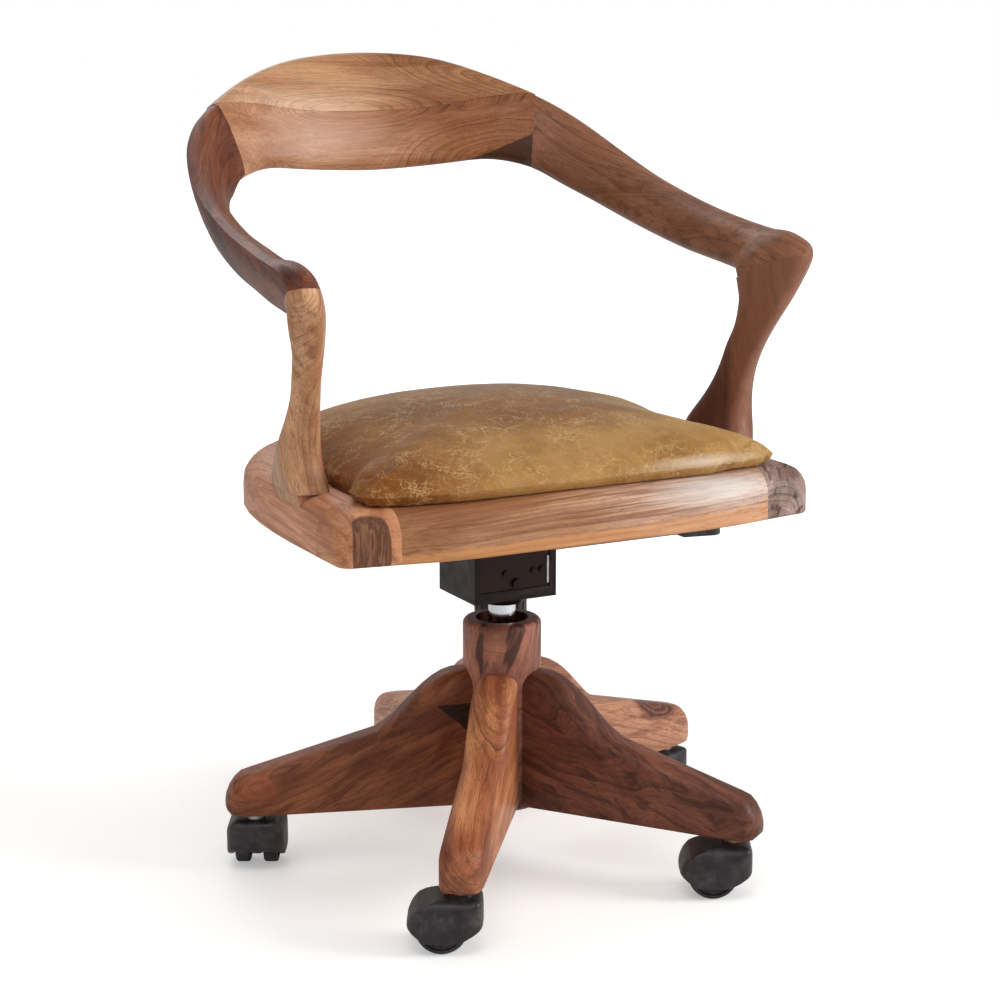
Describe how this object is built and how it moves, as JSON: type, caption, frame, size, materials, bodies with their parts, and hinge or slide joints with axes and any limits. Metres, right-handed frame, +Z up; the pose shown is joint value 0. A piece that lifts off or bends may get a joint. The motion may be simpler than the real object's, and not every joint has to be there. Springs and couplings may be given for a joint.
{
  "type": "wooden swivel armchair",
  "caption": "Walnut desk armchair with a bent back and arm band, a leather cushion, a tilt mechanism and a gas column on a star base with twin-wheel casters.",
  "frame": {"origin": "on the floor, on the axis of the column that the seat turns about", "axes": "+Z up, -Y towards the front of the seat, +X towards the sitter's left"},
  "size_m": [0.5758, 0.5917, 0.8174],
  "materials": {
    "walnut_hub": "dark oiled walnut, turned",
    "walnut_legs": "oiled walnut, satin",
    "walnut_seat": "oiled walnut, satin",
    "walnut_posts": "oiled walnut, satin",
    "walnut_arms": "oiled walnut, satin",
    "walnut_crest": "oiled walnut, satin",
    "beech": "raw beech",
    "plywood": "raw birch plywood",
    "zinc_steel": "bright zinc plated",
    "chrome": "polished chrome plating",
    "black_steel": "black powder coat, satin",
    "black_plastic": "moulded black nylon",
    "bush_plastic": "natural acetal",
    "wheel_plastic": "moulded black nylon with a soft tread",
    "leather": "waxed olive-tan leather, lightly worn"
  },
  "bodies": {
    "base": {"hub": "walnut_hub", "leg_front_right": "walnut_legs", "leg_front_left": "walnut_legs", "leg_side_left": "walnut_legs", "leg_rear": "walnut_legs", "leg_side_right": "walnut_legs", "leg_dowels": "beech", "caster_sockets": "zinc_steel", "stand_tube": "zinc_steel", "guide_bush": "bush_plastic", "thrust_bearing": "zinc_steel"},
    "caster_front_right": {"hood_front_right": "black_plastic", "stem_front_right": "zinc_steel"},
    "wheel_front_right_a": {"wheel_front_right_a": "wheel_plastic"},
    "wheel_front_right_b": {"wheel_front_right_b": "wheel_plastic"},
    "caster_front_left": {"hood_front_left": "black_plastic", "stem_front_left": "zinc_steel"},
    "wheel_front_left_a": {"wheel_front_left_a": "wheel_plastic"},
    "wheel_front_left_b": {"wheel_front_left_b": "wheel_plastic"},
    "caster_side_left": {"hood_side_left": "black_plastic", "stem_side_left": "zinc_steel"},
    "wheel_side_left_a": {"wheel_side_left_a": "wheel_plastic"},
    "wheel_side_left_b": {"wheel_side_left_b": "wheel_plastic"},
    "caster_rear": {"hood_rear": "black_plastic", "stem_rear": "zinc_steel"},
    "wheel_rear_a": {"wheel_rear_a": "wheel_plastic"},
    "wheel_rear_b": {"wheel_rear_b": "wheel_plastic"},
    "caster_side_right": {"hood_side_right": "black_plastic", "stem_side_right": "zinc_steel"},
    "wheel_side_right_a": {"wheel_side_right_a": "wheel_plastic"},
    "wheel_side_right_b": {"wheel_side_right_b": "wheel_plastic"},
    "rod": {"piston_rod": "zinc_steel", "retaining_clip": "zinc_steel"},
    "column": {"gas_cylinder": "chrome", "tilt_housing": "black_steel", "pivot_pin": "zinc_steel", "tension_bolt": "zinc_steel", "tilt_spring": "black_steel"},
    "pin": {"release_pin": "zinc_steel"},
    "lever": {"lever_rod": "black_steel", "lever_paddle": "black_plastic"},
    "knob": {"tension_knob": "black_plastic"},
    "seat": {"top_plate": "black_steel", "plate_bolts": "zinc_steel", "front_rail": "walnut_seat", "corner_left": "walnut_seat", "corner_right": "walnut_seat", "side_rail_left": "walnut_seat", "side_rail_right": "walnut_seat", "rear_rail": "walnut_seat", "frame_dowels": "beech", "seat_bearers": "beech", "seat_board": "plywood", "seat_cushion": "leather", "post_left": "walnut_posts", "post_right": "walnut_posts", "arm_left": "walnut_arms", "arm_right": "walnut_arms", "crest_lower": "walnut_crest", "crest_upper": "walnut_crest"}
  },
  "joints": [
    {"name": "swivel_front_right", "type": "hinge", "parent": "base", "child": "caster_front_right", "pos_m": [-0.15194, -0.20913, 0.06], "axis": [0, 0, 1], "continuous": true},
    {"name": "roll_front_right_a", "type": "hinge", "parent": "caster_front_right", "child": "wheel_front_right_a", "pos_m": [-0.1696, -0.19974, 0.025], "axis": [-0.4695, -0.8829, 0], "continuous": true},
    {"name": "roll_front_right_b", "type": "hinge", "parent": "caster_front_right", "child": "wheel_front_right_b", "pos_m": [-0.1696, -0.19974, 0.025], "axis": [-0.4695, -0.8829, 0], "continuous": true},
    {"name": "swivel_front_left", "type": "hinge", "parent": "base", "child": "caster_front_left", "pos_m": [0.15194, -0.20913, 0.06], "axis": [0, 0, 1], "continuous": true},
    {"name": "roll_front_left_a", "type": "hinge", "parent": "caster_front_left", "child": "wheel_front_left_a", "pos_m": [0.13428, -0.19974, 0.025], "axis": [-0.4695, -0.8829, 0], "continuous": true},
    {"name": "roll_front_left_b", "type": "hinge", "parent": "caster_front_left", "child": "wheel_front_left_b", "pos_m": [0.13428, -0.19974, 0.025], "axis": [-0.4695, -0.8829, 0], "continuous": true},
    {"name": "swivel_side_left", "type": "hinge", "parent": "base", "child": "caster_side_left", "pos_m": [0.24585, 0.07988, 0.06], "axis": [0, 0, 1], "continuous": true},
    {"name": "roll_side_left_a", "type": "hinge", "parent": "caster_side_left", "child": "wheel_side_left_a", "pos_m": [0.23901, 0.09867, 0.025], "axis": [-0.9397, -0.342, 0], "continuous": true},
    {"name": "roll_side_left_b", "type": "hinge", "parent": "caster_side_left", "child": "wheel_side_left_b", "pos_m": [0.23901, 0.09867, 0.025], "axis": [-0.9397, -0.342, 0], "continuous": true},
    {"name": "swivel_rear", "type": "hinge", "parent": "base", "child": "caster_rear", "pos_m": [0, 0.2585, 0.06], "axis": [0, 0, 1], "continuous": true},
    {"name": "roll_rear_a", "type": "hinge", "parent": "caster_rear", "child": "wheel_rear_a", "pos_m": [0.00518, 0.27782, 0.025], "axis": [-0.9659, 0.2588, 0], "continuous": true},
    {"name": "roll_rear_b", "type": "hinge", "parent": "caster_rear", "child": "wheel_rear_b", "pos_m": [0.00518, 0.27782, 0.025], "axis": [-0.9659, 0.2588, 0], "continuous": true},
    {"name": "swivel_side_right", "type": "hinge", "parent": "base", "child": "caster_side_right", "pos_m": [-0.24585, 0.07988, 0.06], "axis": [0, 0, 1], "continuous": true},
    {"name": "roll_side_right_a", "type": "hinge", "parent": "caster_side_right", "child": "wheel_side_right_a", "pos_m": [-0.23646, 0.09754, 0.025], "axis": [-0.8829, 0.4695, 0], "continuous": true},
    {"name": "roll_side_right_b", "type": "hinge", "parent": "caster_side_right", "child": "wheel_side_right_b", "pos_m": [-0.23646, 0.09754, 0.025], "axis": [-0.8829, 0.4695, 0], "continuous": true},
    {"name": "seat_swivel", "type": "hinge", "parent": "base", "child": "rod", "pos_m": [0, 0, 0.07], "axis": [0, 0, 1], "continuous": true},
    {"name": "seat_height", "type": "slide", "parent": "rod", "child": "column", "axis": [0, 0, 1], "range_m": [0, 0.1]},
    {"name": "height_lever", "type": "hinge", "parent": "column", "child": "lever", "pos_m": [0.04, 0, 0.3248], "axis": [0, -1, 0], "range_deg": [0, 4.3], "stiffness_Nm_per_rad": 4, "springref_deg": -1.72},
    {"name": "release_press", "type": "slide", "parent": "column", "child": "pin", "axis": [0, 0, 1], "range_m": [-0.0031, 0]},
    {"name": "tension_turn", "type": "hinge", "parent": "column", "child": "knob", "pos_m": [0.036, 0.072, 0.25], "axis": [0, 0, 1], "range_deg": [-720, 720]},
    {"name": "seat_tilt", "type": "hinge", "parent": "column", "child": "seat", "pos_m": [0, -0.012, 0.345], "axis": [-1, 0, 0], "range_deg": [0, 12], "stiffness_Nm_per_rad": 45, "springref_deg": -22.92, "deforming": ["tilt_spring"]}
  ],
  "couplings": [
    {"joint": "release_press", "follows": "height_lever", "m_per_rad": -0.04}
  ]
}
